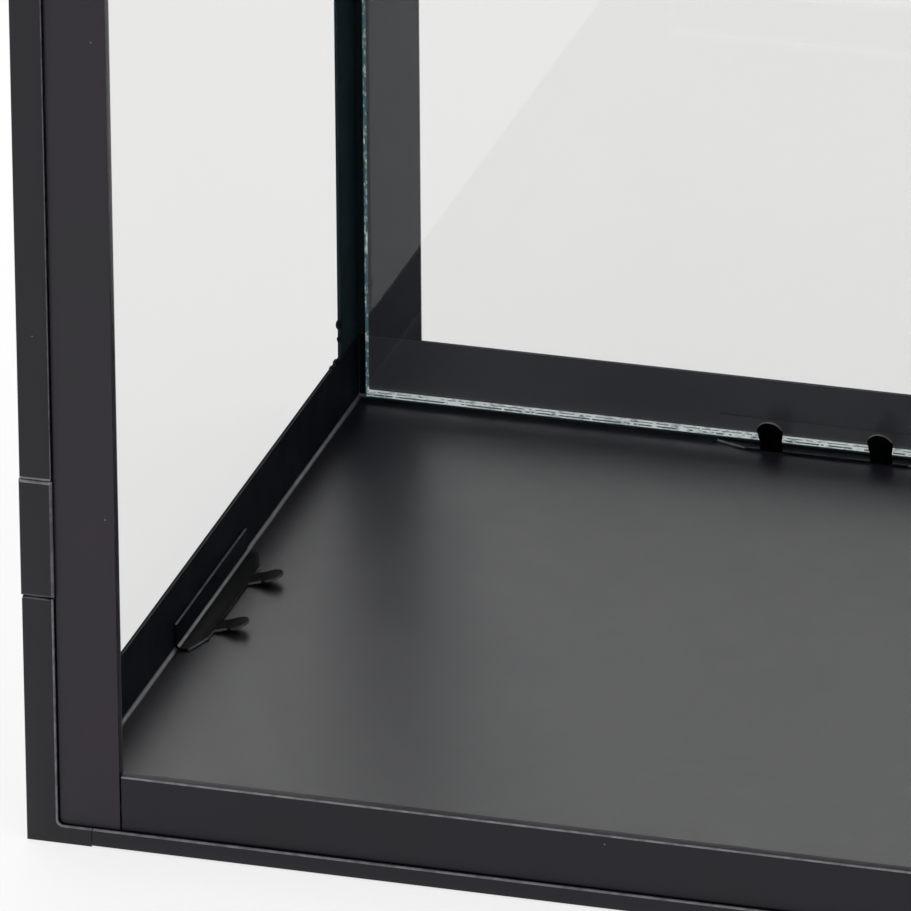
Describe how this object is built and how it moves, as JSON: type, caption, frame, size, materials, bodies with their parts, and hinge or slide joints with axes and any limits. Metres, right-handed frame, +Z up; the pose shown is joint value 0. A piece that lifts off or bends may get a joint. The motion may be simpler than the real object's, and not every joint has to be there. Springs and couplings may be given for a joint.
{
  "type": "candle lantern",
  "caption": "Square candle lantern of folded black sheet steel with a hinged glazed front door, glazed back, vented roof and a bail handle.",
  "frame": {"origin": "on the ground, under the middle of the bounding box", "axes": "+Z up, +X to the right when facing the door, the door faces -Y"},
  "size_m": [0.2504, 0.26, 0.45],
  "materials": {
    "steel": "satin black powder coat",
    "clip": "black spring steel",
    "bright": "plain steel",
    "magnet": "matt ferrite",
    "glass": "clear float glass, ground edges"
  },
  "bodies": {
    "housing": {"base_pan": "steel", "left_bottom_rail": "steel", "right_bottom_rail": "steel", "rear_bottom_rail": "steel", "left_top_rail": "steel", "right_top_rail": "steel", "rear_top_rail": "steel", "left_front_post": "steel", "left_rear_post": "steel", "right_front_post": "steel", "right_rear_post": "steel", "rear_left_post": "steel", "rear_right_post": "steel", "front_hinge_jamb": "steel", "front_catch_jamb": "steel", "front_sill": "steel", "front_head": "steel", "lower_hinge_pin": "bright", "upper_hinge_pin": "bright", "magnet_catch": "magnet", "left_bottom_clip": "clip", "right_bottom_clip": "clip", "rear_bottom_clip": "clip", "left_top_clip": "clip", "right_top_clip": "clip", "rear_top_clip": "clip", "rear_pane": "glass", "right_pane": "glass", "roof_pan": "steel", "vent_collar": "steel", "vent_leg_1": "steel", "vent_leg_2": "steel", "vent_leg_3": "steel", "vent_leg_4": "steel", "vent_cap": "steel", "right_handle_lug": "steel", "left_handle_lug": "steel"},
    "door": {"door_left_stile": "steel", "door_right_stile": "steel", "door_bottom_rail": "steel", "door_top_rail": "steel", "lower_hinge_lug": "steel", "upper_hinge_lug": "steel", "door_pane": "glass", "door_bottom_clip": "clip", "door_top_clip": "clip", "door_knob": "steel", "knob_screw": "bright", "strike_plate": "bright"},
    "handle": {"bail_handle": "steel", "right_end_nut": "bright", "left_end_nut": "bright"}
  },
  "joints": [
    {"name": "door_hinge", "type": "hinge", "parent": "housing", "child": "door", "pos_m": [-0.12252, -0.118, 0.21], "axis": [0, 0, -1], "range_deg": [0, 100]},
    {"name": "handle_pivot", "type": "hinge", "parent": "housing", "child": "handle", "pos_m": [0.00017, 0.005, 0.4214], "axis": [1, 0, 0], "range_deg": [0, 180]}
  ]
}
